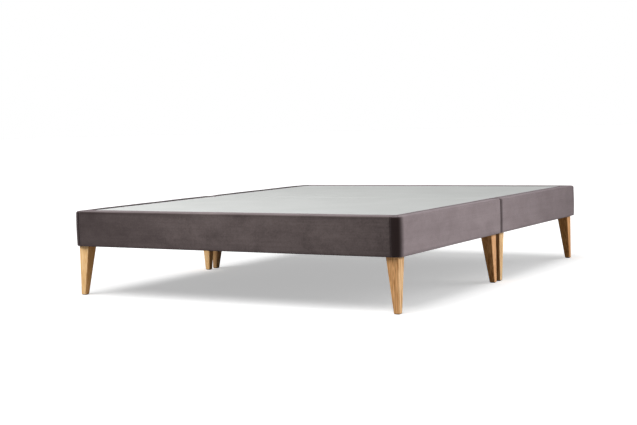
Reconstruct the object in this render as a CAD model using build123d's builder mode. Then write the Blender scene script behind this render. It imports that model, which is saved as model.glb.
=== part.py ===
from build123d import *
from math import degrees
import os

# Divan bed base in two halves, each an upholstered pine box on four tapered legs.
# Millimetres, +Z up. The origin is on the floor under the middle of the base.
# The foot end faces -Y and the head end +Y. The halves mirror each other across the
# split, so most pieces come from functions that take the end that they belong to.

foot_end, head_end = -1, 1
left_side, right_side = -1, 1
end_names = {foot_end: "foot", head_end: "head"}
side_names = {left_side: "left", right_side: "right"}

# Overall form
base_width = 1520.0
base_length = 1880.0
body_height = 145.0
split_gap = 4.0
foot_corner_radius = 36.0
head_corner_radius = 16.0
top_edge_radius = 8.0

# Cover: the velvet borders, the top cloth and the lining at the split
cover_thickness = 1.5
end_border_width = 64.0
side_border_width = 47.0
under_wrap = 30.0

# Padding and dust cover
pad_thickness = 10.0
side_wadding = 5.0
padding_clearance = 0.2
dust_cover_thickness = 0.8
dust_cover_inset = 12.0
dust_cover_leg_gap = 2.0

# Pine frame and deck board
rail_thickness = 22.0
joist_thickness = 22.0
joist_depth = 95.0
joist_count = 3
housing_depth = 6.0
deck_thickness = 9.0
outer_block_size = 62.0
block_chamfer = 14.0

# Tapered legs and their glides
leg_length = 203.0
leg_top_size = 50.0
leg_foot_size = 23.0
leg_inset = 16.5
leg_edge_chamfer = 1.5
glide_thickness = 3.0
glide_size = 19.0
glide_edge_chamfer = 1.0

# Leg bolts, and the inserts in the corner blocks that they screw into
leg_bolt_radius = 5.0
leg_bolt_depth_in_leg = 45.0
leg_bolt_depth_in_insert = 27.0
insert_radius = 9.8
insert_length = 32.0

# Swivel hooks that lock the halves together, and their shouldered coach screws
hook_thickness = 3.0
hook_width = 28.0
hook_span = 124.0
hook_from_side = 110.0
hook_nose = 16.0
hook_corner_radius = 5.0
hook_slot_clearance = 0.4
hook_tab_length = 16.0
hook_tab_width = 14.0
hook_tab_drop = 9.0
hook_bend_radius = 4.5
hook_wood_margin = 30.0
shoulder_radius = 4.0
coach_head_radius = 8.5
coach_head_thickness = 4.0
coach_thread_radius = 3.0
coach_thread_length = 35.0

# Tee nuts for a headboard, in the head end's outer rail
headboard_bolt_from_side = 210.0
headboard_drop = 72.0
tee_bore_radius = 3.4
tee_barrel_radius = 4.8
tee_barrel_length = 14.0
tee_flange_radius = 11.0
tee_flange_thickness = 1.6
cover_hole_radius = 6.5

fit_clearance = 0.1
pivot_clearance = 0.08
seat_clearance = 0.3
cut_overrun = 5.0

# Heights, from the floor up
leg_top = glide_thickness + leg_length
frame_bottom = leg_top + cover_thickness
base_top = leg_top + body_height
deck_top = base_top - cover_thickness - pad_thickness
rail_top = deck_top - deck_thickness
dust_cover_bottom = leg_top - dust_cover_thickness
hook_bottom = dust_cover_bottom - seat_clearance - hook_thickness
coach_head_top = hook_bottom - seat_clearance
headboard_z = base_top - headboard_drop

# Plan places. X counts from the middle of the base and Y from the middle of the split.
corner_radii = {foot_end: foot_corner_radius, head_end: head_corner_radius}
half_width = base_width / 2
outer_face = base_length / 2
split_face = split_gap / 2
padding_inset = cover_thickness + padding_clearance
frame_inset = cover_thickness + side_wadding
frame_side = half_width - frame_inset
frame_outer_face = outer_face - frame_inset
frame_split_face = split_face + cover_thickness
rail_inner_side = frame_side - rail_thickness
rail_inner_end = frame_outer_face - rail_thickness
rail_inner_split = frame_split_face + rail_thickness
headboard_bolt_x = half_width - headboard_bolt_from_side
leg_axis_inset = leg_inset + leg_top_size / 2
leg_axis_x = half_width - leg_axis_inset
leg_axis_y = {"outer": outer_face - leg_axis_inset, "split": split_face + leg_axis_inset}
hook_x = half_width - hook_from_side
hook_screw_y = hook_span / 2
joist_spacing = 2 * rail_inner_side / (joist_count + 1)
joist_places = [joist_spacing * (n + 1) - rail_inner_side for n in range(joist_count)]

# Corner blocks, each as x low, x high, y low and y high in one quarter of the base
outer_block_x = rail_inner_side - outer_block_size
outer_block_y = rail_inner_end - outer_block_size
block_plans = {
    "outer": (outer_block_x, rail_inner_side, outer_block_y, rail_inner_end),
    "split": (hook_x - hook_wood_margin, rail_inner_side, rail_inner_split, hook_screw_y + hook_wood_margin),
}


def save(piece, name):
    piece.label = name
    export_step(piece, f"parts/{name}.step")


def plan_outline(end, side_inset, split_inset):
    """Plan of one half, drawn in from its three outer faces and from its split face."""
    length = outer_face - split_face - side_inset - split_inset
    away_from_split = Axis((0, 0, 0), (0, end, 0))
    with BuildSketch() as outline:
        with Locations((0, end * (split_face + split_inset + length / 2))):
            Rectangle(base_width - 2 * side_inset, length)
        if corner_radii[end] > side_inset:
            fillet(outline.vertices().sort_by(away_from_split)[-2:], corner_radii[end] - side_inset)
    return outline.sketch


def rounded_body(end, inset):
    """The outer form of one half, or that form drawn in by the inset on every face."""
    outline = plan_outline(end, inset, inset)
    with BuildPart() as body:
        with BuildSketch(Plane.XY.offset(leg_top + inset)):
            add(outline)
        extrude(amount=body_height - 2 * inset)
        fillet(body.faces().sort_by(Axis.Z)[-1].edges(), top_edge_radius - inset)
    return body.part


def column(outline, z_low, z_high):
    """An outline of one half extruded between two heights."""
    with BuildPart() as piece:
        with BuildSketch(Plane.XY.offset(z_low)):
            add(outline)
        extrude(amount=z_high - z_low)
    return piece.part


def zone(end, x_low, x_high, y_low, y_high, z_low, z_high):
    """A plain block of one half, whose Y places count from the split towards its end."""
    with BuildPart() as block:
        with BuildSketch(Plane.XY.offset(z_low)):
            with Locations(((x_low + x_high) / 2, end * (y_low + y_high) / 2)):
                Rectangle(x_high - x_low, y_high - y_low)
        extrude(amount=z_high - z_low)
    return block.part


def repeated(piece, places):
    """Copies of one piece at several planes or points, each a solid of its own."""
    with BuildPart() as copies:
        with Locations(*places):
            add(piece)
    return copies.part


# Leg corners, and the fasteners there. Each function takes what to grow the piece by:
# nothing for the piece itself, and the fit clearance for the hole that it needs.
leg_corners = [
    (end, side, station)
    for end in (foot_end, head_end)
    for side in (left_side, right_side)
    for station in ("outer", "split")
]
leg_spots = [(side * leg_axis_x, end * leg_axis_y[station]) for end, side, station in leg_corners]


def leg_bolts(grow):
    bolt_bottom = leg_top - leg_bolt_depth_in_leg
    bolt_top = frame_bottom + leg_bolt_depth_in_insert
    with BuildPart() as bolt:
        with BuildSketch(Plane.XY.offset(bolt_bottom - grow)):
            Circle(leg_bolt_radius + grow)
        extrude(amount=bolt_top - bolt_bottom + 2 * grow)
    return repeated(bolt.part, leg_spots)


def leg_inserts(grow):
    """Long hexagon nuts pressed up into the corner blocks."""
    with BuildPart() as insert:
        with BuildSketch(Plane.XY.offset(frame_bottom)):
            RegularPolygon(insert_radius + grow, 6)
        extrude(amount=insert_length + grow)
    return repeated(insert.part, leg_spots)


headboard_planes = [
    Plane((side * headboard_bolt_x, rail_inner_end, headboard_z), z_dir=(0, 1, 0))
    for side in (left_side, right_side)
]


def headboard_nuts():
    """Two tee nuts, flange against the head rail's inner face and barrel in the rail."""
    with BuildPart() as nut:
        with BuildSketch():
            Circle(tee_flange_radius)
        extrude(amount=-tee_flange_thickness)
        with BuildSketch():
            Circle(tee_barrel_radius)
        extrude(amount=tee_barrel_length)
        Hole(tee_bore_radius)
    return repeated(nut.part, headboard_planes)


def headboard_passages():
    """Way of a headboard bolt through the head rail, the wadding and the velvet."""
    with BuildPart() as passage:
        with BuildSketch():
            Circle(tee_barrel_radius + fit_clearance)
        extrude(amount=rail_thickness)
        with BuildSketch(Plane.XY.offset(rail_thickness)):
            Circle(cover_hole_radius)
        extrude(amount=frame_inset + cut_overrun)
    return repeated(passage.part, headboard_planes)


def coach_screw_spots(end):
    return [(side * hook_x, end * hook_screw_y) for side in (left_side, right_side)]


def coach_screws(end):
    """A hook's pivot or stud on each side: hexagon head below the hook, shoulder up to the wood."""
    with BuildPart() as screw:
        with BuildSketch(Plane.XY.offset(coach_head_top - coach_head_thickness)):
            RegularPolygon(coach_head_radius, 6)
        extrude(amount=coach_head_thickness)
        with BuildSketch(Plane.XY.offset(coach_head_top)):
            Circle(shoulder_radius)
        extrude(amount=frame_bottom - coach_head_top)
        with BuildSketch(Plane.XY.offset(frame_bottom)):
            Circle(coach_thread_radius)
        extrude(amount=coach_thread_length)
    return repeated(screw.part, coach_screw_spots(end))


def coach_screw_ways(end):
    """Holes that the hook screws need in the dust cover and in the wood."""
    with BuildPart() as way:
        with BuildSketch(Plane.XY.offset(dust_cover_bottom - cut_overrun)):
            Circle(shoulder_radius + fit_clearance)
        extrude(amount=frame_bottom - dust_cover_bottom + cut_overrun)
        with BuildSketch(Plane.XY.offset(frame_bottom)):
            Circle(coach_thread_radius + fit_clearance)
        extrude(amount=coach_thread_length + fit_clearance)
    return repeated(way.part, coach_screw_spots(end))


def joist(end, place):
    """A joist that stands in a housing in each cross rail."""
    x_low = place - joist_thickness / 2
    y_low = rail_inner_split - housing_depth
    y_high = rail_inner_end + housing_depth
    return zone(end, x_low, x_low + joist_thickness, y_low, y_high, rail_top - joist_depth, rail_top)


def corner_block(end, side, station):
    """A glued block in a corner of the frame, its free upright edge taken off."""
    x_low, x_high, y_low, y_high = block_plans[station]
    middle = (side * (x_low + x_high) / 2, end * (y_low + y_high) / 2)
    free_edge_y = y_low if station == "outer" else y_high
    with BuildPart() as block:
        with BuildSketch(Plane.XY.offset(frame_bottom)) as plan:
            with Locations(middle):
                Rectangle(x_high - x_low, y_high - y_low)
            free_corner = plan.vertices().sort_by_distance((side * x_low, end * free_edge_y))[0]
            chamfer(free_corner, block_chamfer)
        extrude(amount=rail_top - frame_bottom)
    return block.part


def foot_spot(end, side, station):
    """Middle of a leg's foot, which stands below the outer corner of the leg's top."""
    outward = end if station == "outer" else -end
    shift = (leg_top_size - leg_foot_size) / 2
    return side * (leg_axis_x + shift), end * leg_axis_y[station] + outward * shift


def leg_profile(view, axis_place, outward):
    """A leg seen along X or Y, drawn right across the base: one edge upright and one tapered."""
    outer_edge = axis_place + outward * leg_top_size / 2
    with BuildPart() as profile:
        with BuildSketch(view):
            with BuildLine():
                Polyline(
                    (outer_edge, glide_thickness),
                    (outer_edge, leg_top),
                    (outer_edge - outward * leg_top_size, leg_top),
                    (outer_edge - outward * leg_foot_size, glide_thickness),
                    close=True,
                )
            make_face()
        extrude(amount=base_length, both=True)
    return profile.part


def tapered_leg(end, side, station):
    """A leg whose outer two faces are upright and whose inner two faces taper to the foot."""
    outward = end if station == "outer" else -end
    front_view = leg_profile(Plane.XZ, side * leg_axis_x, side)
    side_view = leg_profile(Plane.YZ, end * leg_axis_y[station], outward)
    with BuildPart() as leg:
        add(front_view)
        add(side_view, mode=Mode.INTERSECT)
        chamfer(leg.edges().group_by(Axis.Z)[1], leg_edge_chamfer)
    return leg.part


def glides():
    """A square plastic pad under each leg."""
    with BuildPart() as glide:
        with BuildSketch():
            Rectangle(glide_size, glide_size)
        extrude(amount=glide_thickness)
        chamfer(glide.faces().sort_by(Axis.Z)[0].edges(), glide_edge_chamfer)
    return repeated(glide.part, [foot_spot(*corner) for corner in leg_corners])


def link_hook():
    """The right-hand hook: a flat bar on its pivot, with an arched slot that opens sideways."""
    pivot = (hook_x, -hook_screw_y)
    along_bar = 90
    nose_end = hook_screw_y + hook_nose
    bar_length = nose_end + hook_screw_y
    slot_width = 2 * (shoulder_radius + hook_slot_clearance)
    with BuildPart() as hook:
        with BuildSketch(Plane.XY.offset(hook_bottom)) as blank:
            with Locations(pivot):
                Circle(hook_width / 2)
            with Locations((hook_x, nose_end - bar_length / 2)):
                Rectangle(hook_width, bar_length)
            fillet(blank.vertices().group_by(Axis.Y)[-1], hook_corner_radius)
            with Locations(pivot):
                Circle(shoulder_radius + pivot_clearance, mode=Mode.SUBTRACT)
            with BuildLine():
                slot_line = CenterArc(pivot, hook_span, along_bar, -degrees(hook_width / hook_span))
            SlotArc(slot_line, slot_width, mode=Mode.SUBTRACT)
        extrude(amount=hook_thickness)
        with BuildLine(Plane.YZ.offset(hook_x)) as tab_line:
            bar_middle_z = hook_bottom + hook_thickness / 2
            tab_end = nose_end + hook_tab_length
            FilletPolyline(
                (nose_end, bar_middle_z),
                (tab_end, bar_middle_z),
                (tab_end, bar_middle_z - hook_tab_drop),
                radius=hook_bend_radius,
            )
        with BuildSketch(Plane((hook_x, nose_end, bar_middle_z), x_dir=(1, 0, 0), z_dir=(0, 1, 0))):
            Rectangle(hook_tab_width, hook_thickness)
        sweep(path=tab_line.line)
    return hook.part


os.makedirs("parts", exist_ok=True)

# Ways that the fasteners need through the wood and the cloth
fastener_ways = [leg_bolts(fit_clearance), leg_inserts(fit_clearance), headboard_passages()]
fastener_ways += [coach_screw_ways(foot_end), coach_screw_ways(head_end)]

for end, half in end_names.items():
    cover_form = rounded_body(end, 0)
    cover_inside = rounded_body(end, cover_thickness)
    padding_plan = plan_outline(end, padding_inset, padding_inset)
    frame_plan = plan_outline(end, frame_inset, cover_thickness)
    whole_frame = column(frame_plan, frame_bottom, rail_top)

    # Frame: side rails and joists stand in housings cut in the two cross rails
    housing_start = rail_inner_split - housing_depth
    housing_end = rail_inner_end + housing_depth
    side_rails = {}
    for side in (left_side, right_side):
        x_span = sorted((side * rail_inner_side, side * half_width))
        side_zone = zone(end, *x_span, housing_start, housing_end, frame_bottom, rail_top)
        with BuildPart() as side_rail:
            add(whole_frame)
            add(side_zone, mode=Mode.INTERSECT)
            add(fastener_ways, mode=Mode.SUBTRACT)
        side_rails[side] = side_rail.part
        save(side_rail.part, f"{half}_{side_names[side]}_rail")
    joists = [joist(end, place) for place in joist_places]
    for number, piece in enumerate(joists, 1):
        save(piece, f"{half}_joist_{number}")
    cross_spans = {"outer": (rail_inner_end, outer_face), "split": (split_face, rail_inner_split)}
    for station, y_span in cross_spans.items():
        cross_zone = zone(end, -half_width, half_width, *y_span, frame_bottom, rail_top)
        with BuildPart() as cross_rail:
            add(whole_frame)
            add(cross_zone, mode=Mode.INTERSECT)
            add(side_rails.values(), mode=Mode.SUBTRACT)
            add(joists, mode=Mode.SUBTRACT)
            add(fastener_ways, mode=Mode.SUBTRACT)
        save(cross_rail.part, f"{half}_{station}_rail")
    for side in (left_side, right_side):
        for station in ("outer", "split"):
            block = corner_block(end, side, station)
            with BuildPart() as drilled_block:
                add(block)
                add(fastener_ways, mode=Mode.SUBTRACT)
            save(drilled_block.part, f"{half}_{side_names[side]}_{station}_block")
    save(column(frame_plan, rail_top, deck_top), f"{half}_deck_board")

    # Padding over the deck board and round the outer three sides
    whole_pad = column(padding_plan, deck_top, base_top - padding_inset)
    with BuildPart() as top_pad:
        add(whole_pad)
        chamfer(top_pad.faces().sort_by(Axis.Z)[-1].edges(), top_edge_radius - padding_inset)
    save(top_pad.part, f"{half}_top_pad")
    wadding_inner_plan = plan_outline(end, frame_inset - padding_clearance, 0)
    wadding_form = column(padding_plan, leg_top + padding_inset, deck_top)
    frame_space = column(wadding_inner_plan, leg_top, base_top)
    with BuildPart() as wadding:
        add(wadding_form)
        add(frame_space, mode=Mode.SUBTRACT)
        add(fastener_ways, mode=Mode.SUBTRACT)
    save(wadding.part, f"{half}_side_wadding")

    # Cover, cut from one shell that is open underneath
    side_strip = half_width - side_border_width
    end_strip = outer_face - end_border_width
    corner_start = half_width - corner_radii[end]
    wrap_x = half_width - under_wrap
    wrap_y = (split_face + under_wrap, outer_face - under_wrap)
    open_bottom = zone(end, -wrap_x, wrap_x, *wrap_y, 0, deck_top)
    with BuildPart() as cover:
        add(cover_form)
        add(cover_inside, mode=Mode.SUBTRACT)
        add(open_bottom, mode=Mode.SUBTRACT)
        add(fastener_ways, mode=Mode.SUBTRACT)
    end_zone = zone(end, -corner_start, corner_start, end_strip, outer_face, leg_top, base_top)
    with BuildPart() as end_border:
        add(cover.part)
        add(end_zone, mode=Mode.INTERSECT)
    save(end_border.part, f"{half}_end_border")
    border_zones = {
        "left": zone(end, -half_width, -side_strip, split_face, outer_face, leg_top, base_top),
        "right": zone(end, side_strip, half_width, split_face, outer_face, leg_top, base_top),
    }
    for side_name, border_zone in border_zones.items():
        with BuildPart() as side_border:
            add(cover.part)
            add(border_zone, mode=Mode.INTERSECT)
            add(end_zone, mode=Mode.SUBTRACT)
        save(side_border.part, f"{half}_{side_name}_border")
    lining_top = base_top - top_edge_radius
    lining_end = split_face + under_wrap
    top_zone = zone(end, -side_strip, side_strip, split_face, end_strip, lining_top, base_top)
    with BuildPart() as top_cloth:
        add(cover.part)
        add(top_zone, mode=Mode.INTERSECT)
    save(top_cloth.part, f"{half}_top_cloth")
    lining_zone = zone(end, -side_strip, side_strip, split_face, lining_end, leg_top, lining_top)
    with BuildPart() as split_lining:
        add(cover.part)
        add(lining_zone, mode=Mode.INTERSECT)
    save(split_lining.part, f"{half}_split_lining")
    dust_cover_plan = plan_outline(end, dust_cover_inset, dust_cover_inset)
    leg_cut = 2 * (leg_axis_inset + leg_top_size / 2 + dust_cover_leg_gap)
    cut_corners = [(side * half_width, end * y) for side in side_names for y in (split_face, outer_face)]
    with BuildPart() as dust_cover:
        with BuildSketch(Plane.XY.offset(dust_cover_bottom)):
            add(dust_cover_plan)
            with Locations(*cut_corners):
                Rectangle(leg_cut, leg_cut, mode=Mode.SUBTRACT)
        extrude(amount=dust_cover_thickness)
        add(fastener_ways, mode=Mode.SUBTRACT)
    save(dust_cover.part, f"{half}_dust_cover")

    # Legs
    for side in (left_side, right_side):
        for station in ("outer", "split"):
            whole_leg = tapered_leg(end, side, station)
            with BuildPart() as leg:
                add(whole_leg)
                add(leg_bolts(fit_clearance), mode=Mode.SUBTRACT)
            save(leg.part, f"{half}_{side_names[side]}_{station}_leg")

# Fasteners and feet, each kind one group of separate solids
save(leg_bolts(0), "leg_bolts")
with BuildPart() as inserts:
    add(leg_inserts(0))
    add(leg_bolts(fit_clearance), mode=Mode.SUBTRACT)
save(inserts.part, "leg_inserts")
save(glides(), "leg_glides")
save(headboard_nuts(), "headboard_nuts")
save(coach_screws(foot_end), "hook_pivot_screws")
save(coach_screws(head_end), "hook_studs")

# Link hooks
right_hook = link_hook()
save(right_hook, "right_link_hook")
save(mirror(right_hook, about=Plane.YZ), "left_link_hook")
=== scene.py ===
import math

import bmesh
import bpy
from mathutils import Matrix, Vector, noise


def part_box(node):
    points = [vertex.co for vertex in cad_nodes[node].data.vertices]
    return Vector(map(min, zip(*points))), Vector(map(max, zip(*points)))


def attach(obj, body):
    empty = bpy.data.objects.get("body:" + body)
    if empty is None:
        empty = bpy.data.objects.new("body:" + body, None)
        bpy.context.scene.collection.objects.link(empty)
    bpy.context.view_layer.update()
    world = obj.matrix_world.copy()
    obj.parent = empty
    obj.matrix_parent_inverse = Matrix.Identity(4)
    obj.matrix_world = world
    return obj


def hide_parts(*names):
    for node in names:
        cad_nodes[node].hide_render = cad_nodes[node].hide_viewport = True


# The looks of an upholstered divan bed base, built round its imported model. Metres, +Z up.
# The foot end faces -Y and the head end +Y. Both halves share one set of functions, in
# which a plan point is (x, t) and t counts from a half's split face towards its outer end.

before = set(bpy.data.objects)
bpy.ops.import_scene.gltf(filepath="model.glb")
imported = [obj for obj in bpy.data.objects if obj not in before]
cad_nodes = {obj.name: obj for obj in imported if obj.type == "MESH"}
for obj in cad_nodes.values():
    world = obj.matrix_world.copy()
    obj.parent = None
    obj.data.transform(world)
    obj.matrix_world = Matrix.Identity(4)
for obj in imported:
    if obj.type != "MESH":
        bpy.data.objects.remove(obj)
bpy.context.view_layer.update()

END_SIGNS = {"foot": -1, "head": 1}
SIDE_SIGNS = {"left": -1, "right": 1}

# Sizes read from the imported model
border_low, border_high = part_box("foot_right_border")
cloth_low, cloth_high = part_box("foot_top_cloth")
lining_low, lining_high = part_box("foot_split_lining")
leg_low, leg_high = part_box("foot_right_outer_leg")
nuts_low, nuts_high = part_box("headboard_nuts")
HALF_WIDTH = border_high.x
BODY_TOP = border_high.z
BODY_BOTTOM = border_low.z
SPLIT_FACE = -border_high.y
HALF_LENGTH = border_high.y - border_low.y
STRIP_X = cloth_high.x
END_STRIP = cloth_low.y - border_low.y
UNDER_WRAP = lining_high.y - lining_low.y
CORNER_RADII = {end: HALF_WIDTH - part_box(f"{end}_end_border")[1].x for end in END_SIGNS}

# Thickness of the cloths, and radii of the cover's edge and its fold under the frame
VELVET = 0.0014
CLOTH = 0.0006
EDGE_RADIUS = 0.008
FOLD_RADIUS = 0.004
FACE_TOP = BODY_TOP - EDGE_RADIUS
FACE_BOTTOM = BODY_BOTTOM + FOLD_RADIUS

# The strip on top: its corner, its fullness, its rolled inner edge and that edge's slight wander
STRIP_CORNER = 0.010
STRIP_PUFFS = {"left": 0.0044, "right": 0.0026}
END_STRIP_PUFF = 0.0022
PUFF_BLEND = 0.16
STRIP_CREST = 0.55
STRIP_CURL = 0.0007
CURL_SHARE = 0.25
SETTLE_POINTS = 3
STRIP_FLARE = 0.010
STRIP_FLARE_REACH = 0.035
STRIP_WOBBLE = 0.0012
WOBBLE_PACE = 9
SIDE_WOBBLE_SEED = (3.7, 0.4)
END_WOBBLE_SEED = (5.1, 0.8)

# The velvet's face: its crown, its slight waves, its seams and its mitres (drops in edge radii)
FACE_CROWN = 0.0010
RIPPLE = 0.0007
RIPPLE_WAVES = ((7, 1.0), (19, 0.5))
RIPPLE_FREE_HEIGHT = 0.02
RIPPLE_FREE_LENGTH = 0.03
SEAM_DEPTH = 0.0009
SEAM_WIDTH = 0.0022
SEAM_START = (-0.001, 0.008)
MITRE_DEPTH = 0.0008
MITRE_WIDTH = 0.0055
MITRE_NARROWING = 0.6
MITRE_DROPS = (1.5, 0.5)

# The top cloth, which lies a little below the strips and tucks in under them
CLOTH_DROP = 0.0011
CLOTH_PUFF = 0.0024
CLOTH_PUFF_REACH = 0.05
CLOTH_WAVE = 0.25
CLOTH_WAVE_PACE = 3.1
CLOTH_WAVE_SEED = 2.0
CLOTH_TUCK = 0.008
CLOTH_HEM = 0.016

# The lining in the split and the dust cover
LINING_DEPTH = 0.0010
LINING_LIFT = 0.0002
DUST_TURN_IN = 0.012
DUST_LEG_SPARE = 0.04
DUST_SAG = 0.0003
DUST_SAG_PACE = 5
DUST_SAG_SEED = 1.5

# The padding
PAD_FILL = 0.5
WADDING_FILL = 0.4
PAD_EDGE_RADIUS = 0.006
PAD_FOOT_SHARE = 0.1
PAD_FOOT_INSET = 0.001
WADDING_CLEARANCE = 0.0002
WADDING_SOFT_SHARE = 0.3

# Painted shade on the velvet, from 0 to 1, and how far each reaches: in corner bends, the bottom fold, the
# top crease, the strips and their rolled edges, the mitres and the split's edges; seams are dark joins.
# CREASE_DROP, BEND_DROP and SPLIT_SHADE_REACH are in edge radii, BEND_SHARES in shares of the turn.
STRIP_LEVEL = BODY_TOP - EDGE_RADIUS / 8
SEAM_SHADE = 0.9
STRIP_SEAM_SHADE = 0.45
SEAM_SHADE_WIDTH = 2 * SEAM_WIDTH
SEAM_RAGGED = 0.7
SEAM_RAGGED_PACE = 90
SEAM_RAGGED_SEED = (2.2, 3)
FOLD_SHADE = 0.75
FOLD_REACH = 0.006
CREASE_SHADE = 0.4
CREASE_WIDTH = 0.0028
CREASE_DROP = 0.7
STRIP_SHADES = {"left": 0.74, "right": 0.36}
STRIP_EDGE_SHADE = 0.9
STRIP_EDGE_REACH = (0.018, 0.032)
MITRE_SHADE = 0.95
BEND_LEAD = 0.018
BEND_LEAD_SHADES = {"foot": 0.0, "head": 0.7}
BEND_SHARES = (-0.05, 0.5)
BEND_DROP = 0.35
SPLIT_SHADES = {"foot": 0.15, "head": 0.62}
SPLIT_SHADE_REACH = 2.2

# Painted shade along a border where less light falls, as pairs of place along it and shade
END_FALLOFF_SHADE = {
    "foot": [
        (-0.76, 0.62), (-0.60, 0.54), (-0.38, 0.31), (-0.15, 0.06), (0.20, 0.03), (0.45, 0.05), (0.72, 0.08),
    ],
    "head": [(-0.76, 0.12), (0.0, 0.0), (0.76, 0.10)],
}
SIDE_FALLOFF_SHADE = [(-0.94, 0.0), (0.0, 0.0), (0.12, 0.05), (0.32, 0.17), (0.60, 0.29), (0.94, 0.40)]

# The holes in the head end's cover for a headboard's bolts, in line with the nuts in the rail
HOLED_END = "head"
HOLE_Z = (nuts_low.z + nuts_high.z) / 2
HOLE_X = nuts_high.x - (nuts_high.z - nuts_low.z) / 2
HOLE_RADIUS = 0.0065
HOLE_CLEARANCE = 0.010
HOLE_STEP_GAP = 0.005
HOLE_STEPS = (-1, -0.5, 0, 0.5, 1)
HOLE_INSIDE = 0.9
HOLE_RIM = 1.01

# Steps of the meshes, and how near two points are welded into one
STRIP_STEPS = 8
EDGE_STEPS = 6
FACE_STEPS = 14
FOLD_STEPS = 4
WRAP_STEPS = 5
SIDE_STEPS = 72
OUTER_CORNER_STEPS = 14
SEAM_SHARES = [0.96, 0.98, 1]
CROWDED_STEPS = 5
END_STEPS = 70
END_CROWDING = 0.0012
CLOTH_STEPS = (64, 44)
CLOTH_CROWDING = (0.002, 0.003)
LINING_STEPS = 60
DUST_STEPS = (30, 40)
PAD_SIDE_STRIDE = 6
WELD_DISTANCE = 0.00004

# Where a corner's turn starts in plan, in degrees: facing the split, or facing a long side
FROM_SPLIT = -90
FROM_SIDE = 0


# Plan points and shares


def place(end, side, plan, z):
    """A plan point of one half and a height, as a point of the shared frame."""
    return Vector((side * plan[0], END_SIGNS[end] * (SPLIT_FACE + plan[1]), z))


def plan_place(end, point):
    """The way back: a point's distance from the middle, its t and its height."""
    return abs(point.x), END_SIGNS[end] * point.y - SPLIT_FACE, point.z


def even_shares(steps):
    """Evenly spaced shares from 0 to 1."""
    return [n / steps for n in range(steps + 1)]


def close_ended_shares(steps, near):
    """Shares from 0 to 1 that crowd together at both ends, the first at the share near."""
    crowd = [near * 2 ** n for n in range(CROWDED_STEPS)]
    start = 2 * crowd[-1]
    middle = [start + (1 - 2 * start) * n / steps for n in range(steps + 1)]
    return [0] + crowd + middle + [1 - share for share in reversed(crowd)] + [1]


def smooth_share(value, low, high):
    """0 below low, 1 above high and a smooth rise in between."""
    share = min(1.0, max(0.0, (value - low) / (high - low)))
    return share * share * (3 - 2 * share)


def share_along(places, at):
    """The value at one place of (place, value) pairs, on straight lines between them."""
    for (low, first), (high, second) in zip(places, places[1:]):
        if at < high:
            return first + (second - first) * max(0.0, (at - low) / (high - low))
    return places[-1][1]


def between(near, far, share):
    """The plan point at a share of the way from one plan point to another."""
    return (near[0] + (far[0] - near[0]) * share, near[1] + (far[1] - near[1]) * share)


def line(start, end, shares):
    """Plan points on a straight line."""
    return [between(start, end, share) for share in shares]


def quarter_turn(centre, radius, start_turn, shares):
    """Plan points of a quarter turn round a centre, anticlockwise from start_turn in degrees."""
    turns = [math.radians(start_turn + 90 * share) for share in shares]
    return [(centre[0] + radius * math.cos(turn), centre[1] + radius * math.sin(turn)) for turn in turns]


def rolled_edge(radius, share):
    """Inset and drop of a rounded top edge at a share of its turn, from its top outwards."""
    turn = math.radians(90 * share)
    return radius * (1 - math.sin(turn)), radius * (1 - math.cos(turn))


def row_length(points):
    """Length of a run of points."""
    return sum(math.dist(a, b) for a, b in zip(points, points[1:]))


def distance_from_run(point, start, end):
    """Distance of a plan point from a straight run, and the share of the run that lies beside it."""
    run = end - start
    offset = point - start
    along = min(1.0, max(0.0, offset.dot(run) / run.length_squared))
    return (offset - run * along).length, along


def corner_middle(x, t, radius):
    """The middle of a rounded corner whose sides would meet at a plan point."""
    return Vector((x, t)) - Vector((1, 1)) * radius * (1 - math.sqrt(0.5))


RETURN_SHARES = even_shares(STRIP_STEPS)
SIDE_SHARES = even_shares(SIDE_STEPS)[1:]
SPLIT_CORNER_SHARES = even_shares(EDGE_STEPS)[1:]
OUTER_CORNER_SHARES = even_shares(OUTER_CORNER_STEPS)[1:-1] + SEAM_SHARES
END_SHARES = close_ended_shares(END_STEPS, END_CROWDING)


# The cover's rows in plan and its section


def side_row(end, inset):
    """A side border's plan points at one inset: the return on the split face, the split corner,
    the long side and the outer corner, up to the seam on the outer face."""
    split_reach = max(inset, EDGE_RADIUS)
    outer_reach = max(inset, CORNER_RADII[end])
    split_centre = (HALF_WIDTH - split_reach, split_reach)
    outer_centre = (HALF_WIDTH - outer_reach, HALF_LENGTH - outer_reach)
    face_x = HALF_WIDTH - inset
    row = line((STRIP_X - STRIP_FLARE, inset), (split_centre[0], inset), RETURN_SHARES)
    row += quarter_turn(split_centre, split_reach - inset, FROM_SPLIT, SPLIT_CORNER_SHARES)
    row += line((face_x, split_centre[1]), (face_x, outer_centre[1]), SIDE_SHARES)
    row += quarter_turn(outer_centre, outer_reach - inset, FROM_SIDE, OUTER_CORNER_SHARES)
    return row


def hole_shares(end):
    """The shares of an end's width, from seam to seam, that lie on the steps of its bolt holes."""
    width = 2 * (HALF_WIDTH - CORNER_RADII[end])
    places = [x + HOLE_RADIUS * step for x in (HOLE_X, -HOLE_X) for step in reversed(HOLE_STEPS)]
    return [0.5 - x / width for x in places]


def end_shares(end):
    """Shares of an end's width from seam to seam, with those of any bolt holes."""
    if end != HOLED_END:
        return END_SHARES
    steps = hole_shares(end)
    gap = HOLE_STEP_GAP / (2 * HALF_WIDTH)
    kept = [share for share in END_SHARES if min(abs(share - step) for step in steps) > gap]
    return sorted(kept + steps)


def end_row(end, inset):
    """An end border's plan points at one inset, from seam to seam."""
    seam_x = HALF_WIDTH - max(inset, CORNER_RADII[end])
    outer = HALF_LENGTH - inset
    return line((seam_x, outer), (-seam_x, outer), end_shares(end))


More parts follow.
